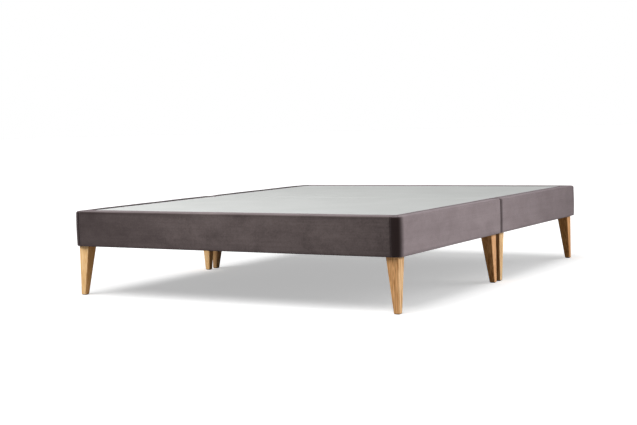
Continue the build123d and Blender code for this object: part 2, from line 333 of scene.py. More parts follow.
def closed_row(end, inset):
    """The whole outline of one half at an inset, as one closed run."""
    run = side_row(end, inset)[STRIP_STEPS:]
    split_points = EDGE_STEPS + 1
    outer_points = len(OUTER_CORNER_SHARES)
    right = run[:split_points] + run[split_points:-outer_points:PAD_SIDE_STRIDE] + run[-outer_points:]
    return right + [(-x, t) for x, t in reversed(right)]


def three_sided_row(end, inset):
    """The outline of one half without its split face, with the steps of the bolt holes."""
    right = side_row(end, inset)[STRIP_STEPS + EDGE_STEPS:]
    left = [(-x, t) for x, t in reversed(right)]
    pierced = line(right[-1], left[0], hole_shares(end)) if end == HOLED_END else []
    return right + pierced + left


def face_bulge(z):
    """How far the face of the cover stands out at a height."""
    return FACE_CROWN * math.sin(math.pi * (FACE_TOP - z) / (FACE_TOP - FACE_BOTTOM))


def border_section():
    """Insets and heights of a border from the top's edge, down its face and in under the frame."""
    section = []
    for share in even_shares(EDGE_STEPS):
        inset, drop = rolled_edge(EDGE_RADIUS, share)
        section.append((inset, BODY_TOP - drop))
    for share in even_shares(FACE_STEPS)[1:]:
        z = FACE_TOP + (FACE_BOTTOM - FACE_TOP) * share
        section.append((-face_bulge(z), z))
    for share in even_shares(FOLD_STEPS)[1:]:
        turn = math.radians(90 * share)
        section.append((FOLD_RADIUS * (1 - math.cos(turn)), FACE_BOTTOM - FOLD_RADIUS * math.sin(turn)))
    for share in even_shares(WRAP_STEPS)[1:]:
        section.append((FOLD_RADIUS + (UNDER_WRAP - FOLD_RADIUS) * share, BODY_BOTTOM))
    return section


SECTION = border_section()
SECTION_LENGTH = row_length(SECTION)


def end_section(end):
    """The section of an end border, with the steps of any bolt holes."""
    if end != HOLED_END:
        return SECTION
    above = [point for point in SECTION if point[1] > HOLE_Z + HOLE_CLEARANCE]
    below = [point for point in SECTION if point[1] < HOLE_Z - HOLE_CLEARANCE]
    heights = [HOLE_Z - HOLE_RADIUS * step for step in HOLE_STEPS]
    return above + [(-face_bulge(z), z) for z in heights] + below


# Meshes


def straight_row(reach, shares):
    """Plan points straight across a half, as a function of its end and an inset."""
    return lambda end, inset: line((-reach, inset), (reach, inset), shares)


def section_rows(end, side, section, plan_row):
    """Rows of points down a section, on the plan points that plan_row gives for each inset."""
    return [[place(end, side, point, z) for point in plan_row(end, inset)] for inset, z in section]


def add_grid(mesh, rows, round_rows=False, round_section=False):
    """Faces between rows of points, all of one length. round_rows joins the two ends of each row
    and round_section joins the last row to the first. Gives back the rows of vertices."""
    made = [[mesh.verts.new(point) for point in row] for row in rows]
    pairs = list(zip(made, made[1:]))
    if round_section:
        pairs.append((made[-1], made[0]))
    for near, far in pairs:
        for n in range(len(near) if round_rows else len(near) - 1):
            after = (n + 1) % len(near)
            mesh.faces.new((near[n], near[after], far[after], far[n]))
    return made


def open_holes(mesh):
    """Rounds the steps about each bolt hole to a circle, empties it and keeps its rim sharp."""
    inside = []
    rim = set()
    for vert in mesh.verts:
        across = (abs(vert.co.x) - HOLE_X) / HOLE_RADIUS
        up = (vert.co.z - HOLE_Z) / HOLE_RADIUS
        reach = max(abs(across), abs(up))
        if reach < HOLE_INSIDE:
            inside.append(vert)
        elif reach < HOLE_RIM:
            if abs(across) >= abs(up):
                turn = math.pi / 4 * up / across + (math.pi if across < 0 else 0)
            else:
                turn = math.pi / 2 - math.pi / 4 * across / up + (math.pi if up < 0 else 0)
            vert.co.x = math.copysign(HOLE_X + HOLE_RADIUS * math.cos(turn), vert.co.x)
            vert.co.z = HOLE_Z + HOLE_RADIUS * math.sin(turn)
            rim.add(vert)
    bmesh.ops.delete(mesh, geom=inside, context="VERTS")
    for edge in mesh.edges:
        edge.smooth = not rim.issuperset(edge.verts)


def weld(mesh):
    """Joins points that fall together and makes the faces agree on their side."""
    bmesh.ops.remove_doubles(mesh, verts=mesh.verts, dist=WELD_DISTANCE)
    bmesh.ops.recalc_face_normals(mesh, faces=mesh.faces)
    mesh.normal_update()


def finish_mesh(mesh, name, outward, shade_smooth=True):
    """Makes a finished mesh into an object whose faces look the way of outward."""
    weld(mesh)
    facing = 0
    for face in mesh.faces:
        face.smooth = shade_smooth
        facing += face.normal.dot(outward(face.calc_center_median())) * face.calc_area()
    if facing < 0:
        bmesh.ops.reverse_faces(mesh, faces=mesh.faces)
    data = bpy.data.meshes.new(name)
    mesh.to_mesh(data)
    mesh.free()
    made = bpy.data.objects.new(name, data)
    bpy.context.scene.collection.objects.link(made)
    return made


def away_from_half(end):
    """The way out of one half's middle."""
    middle = place(end, 1, (0, HALF_LENGTH / 2), (BODY_TOP + BODY_BOTTOM) / 2)
    return lambda point: point - middle


def thicken(made, thickness, offset=-1):
    """Gives a skin its thickness, inwards, or to both sides with offset 0."""
    solidify = made.modifiers.new("Thickness", "SOLIDIFY")
    solidify.thickness = thickness
    solidify.offset = offset
    return made


# The velvet's seams, waves and opened pile


def seam_distance(end, x, t):
    """Distance in plan from the seam that joins a side border and an end border."""
    start = Vector((HALF_WIDTH - CORNER_RADII[end], HALF_LENGTH))
    stop = Vector((STRIP_X - STRIP_CORNER, HALF_LENGTH - END_STRIP))
    return distance_from_run(Vector((x, t)), start, stop)[0]


def mitre_share(end, x, t, z):
    """How near a point lies to the mitre where a strip turns its corner, from the corner's middle
    to the top cloth's corner and a little way down the edge."""
    start = corner_middle(HALF_WIDTH, HALF_LENGTH, CORNER_RADII[end])
    stop = corner_middle(STRIP_X, HALF_LENGTH - END_STRIP, STRIP_CORNER)
    distance, along = distance_from_run(Vector((x, t)), start, stop)
    width = MITRE_WIDTH * (1 - MITRE_NARROWING * along)
    low, high = (BODY_TOP - EDGE_RADIUS * drop for drop in MITRE_DROPS)
    return smooth_share(z, low, high) * math.exp(-((distance / width) ** 2))


def corner_bend_shade(end, x, t, z):
    """Painted shade on the bend of an outer corner, from 0 to 1."""
    radius = CORNER_RADII[end]
    across = x - (HALF_WIDTH - radius)
    along = t - (HALF_LENGTH - radius)
    if across <= 0 or along <= -BEND_LEAD:
        return 0.0
    shade_amount = BEND_LEAD_SHADES[end] * smooth_share(along, -BEND_LEAD, 0)
    if along > 0:
        turned = math.degrees(math.atan2(along, across)) / 90
        shade_amount = max(shade_amount, smooth_share(turned, *BEND_SHARES))
    return shade_amount * smooth_share(BODY_TOP - z, 0, EDGE_RADIUS * BEND_DROP)


def painted_shade_share(end, point, is_side):
    """Painted shade at a point, from 0 to 1: in a corner's bend, a mitre, the bottom fold, the top crease, a
    strip, the split's edge and along a border, beside a dark seam.
    """
    x, t, z = plan_place(end, point)
    seed = (END_SIGNS[end] * SEAM_RAGGED_SEED[0], math.copysign(SEAM_RAGGED_SEED[1], point.x))
    ragged = 1 + SEAM_RAGGED * noise.noise((z * SEAM_RAGGED_PACE, *seed))
    seam = SEAM_SHADE * math.exp(-((seam_distance(end, x, t) / (SEAM_SHADE_WIDTH * ragged)) ** 2))
    if z > STRIP_LEVEL:
        seam *= STRIP_SEAM_SHADE
    fold = FOLD_SHADE * (1 - smooth_share(z, BODY_BOTTOM, BODY_BOTTOM + FOLD_REACH))
    shade_amount = max(seam, fold)
    crease = 0.0
    if is_side:
        shade_amount = max(shade_amount, corner_bend_shade(end, x, t, z), MITRE_SHADE * mitre_share(end, x, t, z))
        split_edge_shade = 1 - smooth_share(t, EDGE_RADIUS, EDGE_RADIUS * SPLIT_SHADE_REACH)
        shade_amount = max(shade_amount, SPLIT_SHADES[end] * split_edge_shade)
        falloff_shade = share_along(SIDE_FALLOFF_SHADE, point.y)
        if z > STRIP_LEVEL:
            crease = STRIP_SHADES["left" if point.x < 0 else "right"]
            crease += STRIP_EDGE_SHADE * (1 - smooth_share(x - STRIP_X, *STRIP_EDGE_REACH))
    else:
        falloff_shade = share_along(END_FALLOFF_SHADE[end], point.x)
        below = BODY_TOP - CREASE_DROP * EDGE_RADIUS - z
        crease = CREASE_SHADE * math.exp(-((below / CREASE_WIDTH) ** 2))
    return min(1.0, max(shade_amount, crease) + falloff_shade * (1 - shade_amount))


def velvet_rise(end, point, is_side):
    """How far the velvet stands out at a point by its slight waves, or lies in by its seams."""
    x, t, z = plan_place(end, point)
    free = smooth_share(z, BODY_BOTTOM, BODY_BOTTOM + RIPPLE_FREE_HEIGHT)
    free *= smooth_share(t, 0, RIPPLE_FREE_LENGTH)
    wave = sum(share * noise.noise(point * pace) for pace, share in RIPPLE_WAVES)
    groove = SEAM_DEPTH * math.exp(-((seam_distance(end, x, t) / SEAM_WIDTH) ** 2))
    groove *= smooth_share(z, *(BODY_BOTTOM + height for height in SEAM_START))
    if is_side:
        groove += MITRE_DEPTH * mitre_share(end, x, t, z)
    return RIPPLE * wave * free - groove


def border_object(mesh, end, name, is_side):
    """A border with its seams, its slight waves and its painted shade."""
    painted_shade = mesh.verts.layers.float.new("painted_shade")
    weld(mesh)
    outward = away_from_half(end)
    for vert in mesh.verts:
        direction = vert.normal if vert.normal.dot(outward(vert.co)) > 0 else -vert.normal
        vert[painted_shade] = painted_shade_share(end, vert.co, is_side)
        vert.co += direction * velvet_rise(end, vert.co, is_side)
    return thicken(finish_mesh(mesh, name, outward), VELVET)


# Velvet borders


def strip_wobble(end, along, seed):
    """Slight wander of a strip's inner edge."""
    return STRIP_WOBBLE * noise.noise((along * WOBBLE_PACE, END_SIGNS[end] * seed[0], seed[1]))


def side_strip_edge(end, count):
    """The inner edge of a side border's strip, beside the same number of points on its ring."""
    last = HALF_LENGTH - END_STRIP - STRIP_CORNER
    edge = line((STRIP_X, EDGE_RADIUS), (STRIP_X, last), [0] + SIDE_SHARES)
    for n, (x, t) in enumerate(edge):
        flare = STRIP_FLARE * math.exp(-(t - EDGE_RADIUS) / STRIP_FLARE_REACH)
        wobble = strip_wobble(end, t, SIDE_WOBBLE_SEED) if n else 0
        edge[n] = (x - flare + wobble, t)
    edge += quarter_turn((STRIP_X - STRIP_CORNER, last), STRIP_CORNER, FROM_SIDE, OUTER_CORNER_SHARES)
    return edge[:count]


def end_strip_edge(end):
    """The inner edge of an end border's strip, from seam to seam."""
    x_reach = STRIP_X - STRIP_CORNER
    inner_t = HALF_LENGTH - END_STRIP
    edge = line((x_reach, inner_t), (-x_reach, inner_t), end_shares(end))
    return [(x, t + strip_wobble(end, x, END_WOBBLE_SEED)) for x, t in edge]


def strip_rows(end, side, inner, ring, puff, from_split):
    """The strip on top of a border, from its rolled inner edge to the ring where the edge starts.
    One that comes from the split lies flat there and rises over its first few points."""
    corner = (HALF_LENGTH - PUFF_BLEND, HALF_LENGTH - CORNER_RADII[end])
    heights = [puff + (END_STRIP_PUFF - puff) * smooth_share(t, *corner) for _, t in ring]
    rows = []
    for share in even_shares(STRIP_STEPS):
        crest = math.sin(math.pi * share ** STRIP_CREST)
        curl = STRIP_CURL * (1 - min(1.0, share / CURL_SHARE))
        row = []
        for n, (near, far) in enumerate(zip(inner, ring)):
            settled = min(1.0, n / SETTLE_POINTS) if from_split else 1.0
            rise = (heights[n] * crest - curl) * settled
            row.append(place(end, side, between(near, far, share), BODY_TOP + rise))
        rows.append(row)
    return rows


def make_side_border(end, side_name):
    """The velvet of one long side with its rounded corners and its strip, and its flat size."""
    side = SIDE_SIGNS[side_name]
    mesh = bmesh.new()
    add_grid(mesh, section_rows(end, side, SECTION, side_row))
    ring = side_row(end, EDGE_RADIUS)[STRIP_STEPS + EDGE_STEPS:]
    inner = side_strip_edge(end, len(ring))
    add_grid(mesh, strip_rows(end, side, inner, ring, STRIP_PUFFS[side_name], from_split=True))
    made = border_object(mesh, end, f"{end}_{side_name}_velvet", True)
    strip_width = HALF_WIDTH - EDGE_RADIUS - STRIP_X
    return made, (strip_width + SECTION_LENGTH, row_length(side_row(end, 0)))


def make_end_border(end):
    """The velvet of one outer end with its strip and its bolt holes, and its flat size."""
    mesh = bmesh.new()
    add_grid(mesh, section_rows(end, 1, end_section(end), end_row))
    if end == HOLED_END:
        open_holes(mesh)
    ring = end_row(end, EDGE_RADIUS)
    add_grid(mesh, strip_rows(end, 1, end_strip_edge(end), ring, END_STRIP_PUFF, from_split=False))
    made = border_object(mesh, end, f"{end}_end_velvet", False)
    strip_width = END_STRIP - EDGE_RADIUS
    return made, (strip_width + SECTION_LENGTH, row_length(end_row(end, 0)))


# Plain cloths


def make_top_cloth(end):
    """The cloth over the deck's padding, tucked under the strips and folded down at the split."""
    reach = STRIP_X + CLOTH_TUCK
    far = HALF_LENGTH - END_STRIP + CLOTH_TUCK
    level = BODY_TOP - CLOTH_DROP
    across = close_ended_shares(CLOTH_STEPS[0], CLOTH_CROWDING[0])
    rows = []
    for share in close_ended_shares(CLOTH_STEPS[1], CLOTH_CROWDING[1]):
        t = far + (EDGE_RADIUS - far) * share
        row = []
        for x, _ in line((-reach, t), (reach, t), across):
            free = min(STRIP_X - abs(x), HALF_LENGTH - END_STRIP - t, t - EDGE_RADIUS)
            spot = (x * CLOTH_WAVE_PACE, t * CLOTH_WAVE_PACE, END_SIGNS[end] * CLOTH_WAVE_SEED)
            lift = CLOTH_PUFF * (1 + CLOTH_WAVE * noise.noise(spot)) * smooth_share(free, 0, CLOTH_PUFF_REACH)
            row.append(place(end, 1, (x, t), level + lift))
        rows.append(row)
    fold = []
    for share in even_shares(EDGE_STEPS)[1:]:
        t = rolled_edge(EDGE_RADIUS, share)[0] + CLOTH
        fold.append((t, level - rolled_edge(EDGE_RADIUS - CLOTH_DROP, share)[1]))
    fold.append((CLOTH, BODY_TOP - CLOTH_HEM))
    rows += section_rows(end, 1, fold, straight_row(reach, across))
    mesh = bmesh.new()
    add_grid(mesh, rows)
    made = thicken(finish_mesh(mesh, f"{end}_top_sheet", away_from_half(end)), CLOTH)
    return made, (2 * reach, far + CLOTH_HEM)


def make_split_lining(end):
    """The plain cloth on the face at the split, from behind the top cloth's hem to under the frame."""
    reach = STRIP_X + CLOTH_TUCK / 2
    start = BODY_TOP - CLOTH_HEM / 2
    section = [(LINING_DEPTH + max(inset, 0), z + LINING_LIFT) for inset, z in SECTION if z < start]
    mesh = bmesh.new()
    add_grid(mesh, section_rows(end, 1, section, straight_row(reach, even_shares(LINING_STEPS))))
    made = thicken(finish_mesh(mesh, f"{end}_lining_sheet", away_from_half(end)), CLOTH / 2)
    return made, (2 * reach, row_length(section))


def make_dust_cover(end):
    """The thin cloth under the frame, its corners cut square round the legs."""
    low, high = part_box(f"{end}_dust_cover")
    margin = HALF_WIDTH - high.x
    cut = HALF_WIDTH - leg_low.x + (leg_high.x - leg_low.x) * DUST_LEG_SPARE
    inner, outer = cut, HALF_LENGTH - cut
    steps_across, steps_along = DUST_STEPS
    insets = [margin, margin + DUST_TURN_IN]
    insets += [cut + (HALF_WIDTH - cut) * n / steps_across for n in range(steps_across + 1)]
    xs = [HALF_WIDTH - inset for inset in insets]
    xs += [-x for x in reversed(xs[:-1])]
    ts = [margin, margin + DUST_TURN_IN]
    ts += [inner + (outer - inner) * n / steps_along for n in range(steps_along + 1)]
    ts += [HALF_LENGTH - margin - DUST_TURN_IN, HALF_LENGTH - margin]
    rows = []
    for t in ts:
        row = []
        for x in xs:
            spot = (x * DUST_SAG_PACE, t * DUST_SAG_PACE, END_SIGNS[end] * DUST_SAG_SEED)
            row.append(place(end, 1, (x, t), (low.z + high.z) / 2 + noise.noise(spot) * DUST_SAG))
        rows.append(row)
    mesh = bmesh.new()
    add_grid(mesh, rows)
    by_legs = []
    for face in mesh.faces:
        x, t, _ = plan_place(end, face.calc_center_median())
        if x > HALF_WIDTH - cut and not inner < t < outer:
            by_legs.append(face)
    bmesh.ops.delete(mesh, geom=by_legs, context="FACES")
    made = finish_mesh(mesh, f"{end}_dust_sheet", lambda point: Vector((0, 0, -1)))
    thicken(made, high.z - low.z, offset=0)
    return made, (2 * (HALF_WIDTH - margin), HALF_LENGTH - 2 * margin)


# Padding


def make_top_pad(end):
    """The thin foam over the deck board, a soft slab with rounded edges."""
    low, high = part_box(f"{end}_top_pad")
    edge_inset = HALF_WIDTH - high.x
    section = []
    for share in even_shares(EDGE_STEPS):
        inset, drop = rolled_edge(PAD_EDGE_RADIUS, share)
        section.append((edge_inset + inset, high.z - drop))
    section.append((edge_inset, low.z + (high.z - low.z) * PAD_FOOT_SHARE))
    section.append((edge_inset + PAD_FOOT_INSET, low.z))
    mesh = bmesh.new()
    rings = add_grid(mesh, section_rows(end, 1, section, closed_row), round_rows=True)
    mesh.faces.new(rings[0])
    mesh.faces.new(rings[-1])
    return finish_mesh(mesh, f"{end}_foam_pad", away_from_half(end))


def make_side_wadding(end):
    """The wadding round the outer three sides, a soft strip."""
    low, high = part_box(f"{end}_side_wadding")
    depth = high.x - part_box(f"{end}_right_rail")[1].x - WADDING_CLEARANCE
    outer = HALF_WIDTH - high.x
    inner = outer + depth
    soft = depth * WADDING_SOFT_SHARE
    heights = [HOLE_Z + HOLE_RADIUS * step for step in HOLE_STEPS] if end == HOLED_END else []
    section = [(outer + soft, high.z), (outer, high.z - soft)]
    section += [(outer, z) for z in reversed(heights)]
    section += [(outer, low.z + soft), (outer + soft, low.z), (inner - soft, low.z), (inner, low.z + soft)]
    section += [(inner, z) for z in heights]
    section += [(inner, high.z - soft), (inner - soft, high.z)]
    mesh = bmesh.new()
    rings = add_grid(mesh, section_rows(end, 1, section, three_sided_row), round_section=True)
    mesh.faces.new([ring[0] for ring in rings])
    mesh.faces.new([ring[-1] for ring in rings])
    if end == HOLED_END:
        open_holes(mesh)
        rims = [edge for edge in mesh.edges if edge.is_boundary]
        for side in SIDE_SIGNS.values():
            bmesh.ops.bridge_loops(mesh, edges=[edge for edge in rims if edge.verts[0].co.x * side > 0])
    return finish_mesh(mesh, f"{end}_wadding_strip", away_from_half(end))


# Material nodes. Patterns are laid out in the shared frame, in metres.

PLAIN_SPACE = (1, 1, 1)
NOISE_MIDDLE = (0.3, 0.7)

# The mix node's sockets for colours, and a wave pattern's radians over a metre at scale 1
MIX_INPUTS = (0, 6, 7)
MIX_RESULT = 2
WAVE_TURN = 20


def feed(tree, socket, value):
    """Links an input to a socket, or sets it to a plain value."""
    if isinstance(value, bpy.types.NodeSocket):
        tree.links.new(value, socket)
    else:
        socket.default_value = value


def add_node(tree, kind, inputs=None, **settings):
    """A shader node with its settings, its inputs set to values or linked."""
    made = tree.nodes.new(kind)
    for name, value in settings.items():
        setattr(made, name, value)
    for name, value in (inputs or {}).items():
        feed(tree, made.inputs[name], value)
    return made


def new_material(name, roughness, specular=0.5, others=None):
    """A material with constants set on its shader, its tree and its shader."""
    made = bpy.data.materials.new(name)
    made.use_nodes = True
    shader = made.node_tree.nodes["Principled BSDF"]
    sockets = {"Roughness": roughness, "Specular IOR Level": specular, **(others or {})}
    for socket, value in sockets.items():
        shader.inputs[socket].default_value = value
    return made, made.node_tree, shader


def object_space(tree, scale=PLAIN_SPACE):
    """The place on an object, stretched by a scale."""
    coordinates = add_node(tree, "ShaderNodeTexCoord")
    mapping = add_node(tree, "ShaderNodeMapping", {"Vector": coordinates.outputs["Object"], "Scale": scale})
    return mapping.outputs["Vector"]


def noise_value(tree, vector, scale, detail, roughness=0.5, distortion=0.0):
    """A noise pattern from 0 to 1."""
    inputs = {"Vector": vector, "Scale": scale, "Detail": detail}
    inputs.update({"Roughness": roughness, "Distortion": distortion})
    return add_node(tree, "ShaderNodeTexNoise", inputs).outputs["Fac"]


def remap(tree, value, low, high, to_low=0.0, to_high=1.0):
    """A value moved from one range to another and kept within it."""
    inputs = {"Value": value, "From Min": low, "From Max": high, "To Min": to_low, "To Max": to_high}
    return add_node(tree, "ShaderNodeMapRange", inputs).outputs["Result"]


def calculate(tree, operation, first, second=0.0):
    """The result of one sum."""
    made = add_node(tree, "ShaderNodeMath", operation=operation)
    feed(tree, made.inputs[0], first)
    feed(tree, made.inputs[1], second)
    return made.outputs[0]


def pattern_factor(tree, *patterns):
    """A factor from 0 to 1 out of pairs of a noise pattern and how far it swings to both sides."""
    total, *others = [remap(tree, pattern, *NOISE_MIDDLE, -swing, swing) for pattern, swing in patterns]
    for other in others:
        total = calculate(tree, "ADD", total, other)
    return remap(tree, total, -1, 1)


def mix_colours(tree, factor, first, second, blend_type="MIX"):
    """Two colours mixed by a factor."""
    made = add_node(tree, "ShaderNodeMix", data_type="RGBA", blend_type=blend_type)
    for index, value in zip(MIX_INPUTS, (factor, first, second)):
        feed(tree, made.inputs[index], (*value, 1) if isinstance(value, tuple) else value)
    return made.outputs[MIX_RESULT]


def dress(tree, shader, colour, height, distance, strength):
    """Leads a colour into the shader, and a height as fine relief."""
    inputs = {"Height": height, "Distance": distance, "Strength": strength}
    normal = add_node(tree, "ShaderNodeBump", inputs).outputs["Normal"]
    tree.links.new(colour, shader.inputs["Base Color"])
    tree.links.new(normal, shader.inputs["Normal"])


# The cover's materials. Tones are linear red, green and blue, the darker one first. A velvet's
# last number is the swing of its flecks. The three velvets are lit and shaded copies of one
# cloth: painted shade on the foot end's, painted light on the sides', the head end's between.

LIT_AND_SHADED_VELVETS = {
    "side": ((0.206, 0.166, 0.171), (0.286, 0.236, 0.243), 0.1),
    "foot": ((0.070, 0.053, 0.051), (0.140, 0.110, 0.106), 0.4),
    "head": ((0.180, 0.143, 0.145), (0.260, 0.213, 0.217), 0.3),
}
# The near-black tone of the velvet's painted shade
VELVET_SHADE_TONE = (0.013, 0.006, 0.005)
VELVET_PATCHES = (1, 1, 1.8)
VELVET_STREAKS = (1.6, 1.6, 60)
BRUSHED_RELIEF = 0.8
VELVET_SHEEN = {"Sheen Weight": 0.4, "Sheen Roughness": 0.5, "Sheen Tint": (0.86, 0.74, 0.78, 1)}
TOP_CLOTH_TONES = ((0.540, 0.551, 0.538), (0.612, 0.621, 0.611))
TOP_CLOTH_GAPS = (0.40, 0.42, 0.41)
TOP_CLOTH_GAP_SHARE = 0.25
THREAD_TURN = 0.0011
SLUB_STRETCH = (4, 90, 40)
LINING_TONES = ((0.30, 0.30, 0.30), (0.46, 0.46, 0.45))
DUST_TONES = ((0.030, 0.030, 0.032), (0.085, 0.085, 0.090))
DUST_DOT_TONE = (0.012, 0.012, 0.013)
DUST_DOT_SHARE = 0.6
DUST_DOT_RANGE = (0.18, 0.34)
PADDING_TONES = ((0.55, 0.54, 0.50), (0.80, 0.79, 0.75))
PADDING_STRETCH = (1, 1, 3)
GLIDE_TONES = ((0.030, 0.018, 0.012), (0.055, 0.034, 0.022))


def velvet_material(name, dark, light, fleck):
    """Short pile, brushed in soft patches and small flecks, with painted shade from its mesh's shade
    attribute.
    """
    made, tree, shader = new_material(name, roughness=0.9, specular=0.1, others=VELVET_SHEEN)
    plain_space = object_space(tree)
    patch_space = object_space(tree, VELVET_PATCHES)
    streak_space = object_space(tree, VELVET_STREAKS)
    patches = noise_value(tree, patch_space, scale=6.5, detail=3, roughness=0.55, distortion=0.6)
    streaks = noise_value(tree, streak_space, scale=2.0, detail=3, roughness=0.6)
    brushed = noise_value(tree, plain_space, scale=46, detail=3, roughness=0.6, distortion=0.4)
    flecks = noise_value(tree, plain_space, scale=150, detail=2, roughness=0.6, distortion=0.3)
    pile = noise_value(tree, plain_space, scale=1400, detail=2, roughness=0.6)
    patterns = ((patches, 0.7), (streaks, 0.3), (brushed, 0.25), (flecks, fleck), (pile, 0.25))
    colour = mix_colours(tree, pattern_factor(tree, *patterns), dark, light)
    # Painted shade, read from the mesh, mixes the colour towards a near-black tone
    shade_amount = add_node(tree, "ShaderNodeAttribute", attribute_name="painted_shade").outputs["Fac"]
    colour = mix_colours(tree, shade_amount, colour, VELVET_SHADE_TONE)
    height = calculate(tree, "ADD", pile, calculate(tree, "MULTIPLY", brushed, BRUSHED_RELIEF))
    dress(tree, shader, colour, height, distance=0.0004, strength=0.5)
    return made


def woven_height(tree, turn):
    """Crossing threads of a plain weave, from 0 to 1, whose wave turns by a radian over a length."""
    inputs = {"Vector": object_space(tree), "Scale": 1 / (WAVE_TURN * turn), "Distortion": 0.4}
    warp = add_node(tree, "ShaderNodeTexWave", inputs, bands_direction="X")
    weft = add_node(tree, "ShaderNodeTexWave", inputs, bands_direction="Y")
    return calculate(tree, "MAXIMUM", warp.outputs["Fac"], weft.outputs["Fac"])


def top_cloth_material():
    """Pale grey-green deck cloth in a fine plain weave."""
    made, tree, shader = new_material("top_cloth", roughness=0.92, specular=0.2)
    threads = woven_height(tree, THREAD_TURN)
    mottle = noise_value(tree, object_space(tree), scale=5, detail=3)
    slubs = noise_value(tree, object_space(tree, SLUB_STRETCH), scale=6, detail=2, roughness=0.6)
    colour = mix_colours(tree, pattern_factor(tree, (mottle, 0.5), (slubs, 0.4)), *TOP_CLOTH_TONES)
    colour = mix_colours(tree, remap(tree, threads, 0, 1, TOP_CLOTH_GAP_SHARE, 0), colour, TOP_CLOTH_GAPS)
    dress(tree, shader, colour, threads, distance=0.0002, strength=0.35)
    return made


def dust_cover_material():
    """Black spun cloth with its pressed dots."""
    made, tree, shader = new_material("dust_cover", roughness=0.85, specular=0.2)
    inputs = {"Vector": object_space(tree), "Scale": 520, "Randomness": 0.15}
    dots = add_node(tree, "ShaderNodeTexVoronoi", inputs)
    pressed = remap(tree, dots.outputs["Distance"], *DUST_DOT_RANGE)
    fibres = noise_value(tree, object_space(tree), scale=300, detail=4, roughness=0.7, distortion=2)
    colour = mix_colours(tree, fibres, *DUST_TONES)
    colour = mix_colours(tree, remap(tree, pressed, 0, 1, DUST_DOT_SHARE, 0), colour, DUST_DOT_TONE)
    dress(tree, shader, colour, pressed, distance=0.0002, strength=0.7)
    return made


def fibrous_material(name, roughness, specular, tones, fibres, relief, stretch=PLAIN_SPACE):
    """A plain material of fibres or grains in two tones, with their slight relief."""
    made, tree, shader = new_material(name, roughness, specular)
    pattern = noise_value(tree, object_space(tree, stretch), **fibres)
    dress(tree, shader, mix_colours(tree, pattern, *tones), pattern, **relief)
    return made


# Wood. Its rings, streaks and pores are stretched by one number along the grain and one across.
# The light tone comes first.

GRAIN_STRETCHES = ((1.0, 9.0), (6.0, 260.0), (18.0, 620.0))
RING_WAVES = 42.0
RING_SWING = 0.4
STREAK_SWING = 0.9
PORE_RANGE = (0.60, 0.68)
PORE_DEPTH = 0.35
PORE_TONE = 0.45
DRIFT_RANGE = (0.35, 0.65)
DRIFT_TONES = (1.06, 0.90)
X_FACE_RANGE = (0.4, 0.9)
# A darker tone along the rounding of edges
EDGE_DARK_RADIUS = 0.0035
EDGE_DARK_RANGE = (0.995, 0.90)
EDGE_DARK_TONE = 0.5

# Each leg's wood by its place, the first match taken: its name, its tones, and what its
# faces across X are multiplied by. Both are painted light and shade: paler wood on the lit
# left legs, darker wood on shaded legs at the split and at the far end, and faces across X
# lighter or darker than those across Y as the light falls on them.
LEG_WOODS = {
    "head_right_split": ("head_split_shaded_leg_wood", (0.55, 0.322, 0.146), (0.253, 0.107, 0.031), (1.75, 2.13, 2.58)),
    "head_left_split": ("shaded_leg_wood", (0.50, 0.32, 0.16), (0.36, 0.19, 0.07), (1.4, 1.2, 1.0)),
    "head_right_outer": ("far_shaded_leg_wood", (0.84, 0.44, 0.16), (0.39, 0.146, 0.035), (0.88, 0.90, 0.96)),
    "foot_right_split": ("foot_split_shaded_leg_wood", (0.83, 0.435, 0.172), (0.383, 0.145, 0.037), (1.10, 1.24, 1.60)),
    "right": ("leg_wood", (0.95, 0.548, 0.250), (0.44, 0.183, 0.053), (1.03, 1.22, 1.48)),
    "left": ("lit_leg_wood", (1.0, 0.69, 0.37), (0.80, 0.45, 0.17), (1.0, 0.80, 0.62)),
}
FRAME_TONES = ((0.74, 0.56, 0.34), (0.58, 0.38, 0.19))
BOARD_WOOD_TONES = ((0.56, 0.42, 0.26), (0.40, 0.27, 0.15))


def grain_space(tree, grain_axis, stretch):
    """The place on an object, stretched along and across a grain that runs along X, Y or Z."""
    return object_space(tree, [stretch[0] if axis == grain_axis else stretch[1] for axis in "XYZ"])


def face_light_tint(tree, colour, x_face_light):
    """Multiplies the colour of the faces across X by a tone: painted light and shade by the way a face looks.
    """
    facing = add_node(tree, "ShaderNodeSeparateXYZ")
    coordinates = add_node(tree, "ShaderNodeTexCoord")
    tree.links.new(coordinates.outputs["Normal"], facing.inputs[0])
    sideways = remap(tree, calculate(tree, "ABSOLUTE", facing.outputs["X"]), *X_FACE_RANGE)
    return mix_colours(tree, sideways, colour, mix_colours(tree, 1.0, colour, x_face_light, "MULTIPLY"))


def darkened_edges(tree, colour, dark, amount):
    """Darkens a colour along rounded edges."""
    rounded = add_node(tree, "ShaderNodeBevel", {"Radius": EDGE_DARK_RADIUS}, samples=6)
    plain = add_node(tree, "ShaderNodeNewGeometry")
    turn = add_node(tree, "ShaderNodeVectorMath", operation="DOT_PRODUCT")
    tree.links.new(rounded.outputs["Normal"], turn.inputs[0])
    tree.links.new(plain.outputs["True Normal"], turn.inputs[1])
    darkened = remap(tree, turn.outputs["Value"], *EDGE_DARK_RANGE, 0, amount)
    return mix_colours(tree, darkened, colour, tuple(c * EDGE_DARK_TONE for c in dark))


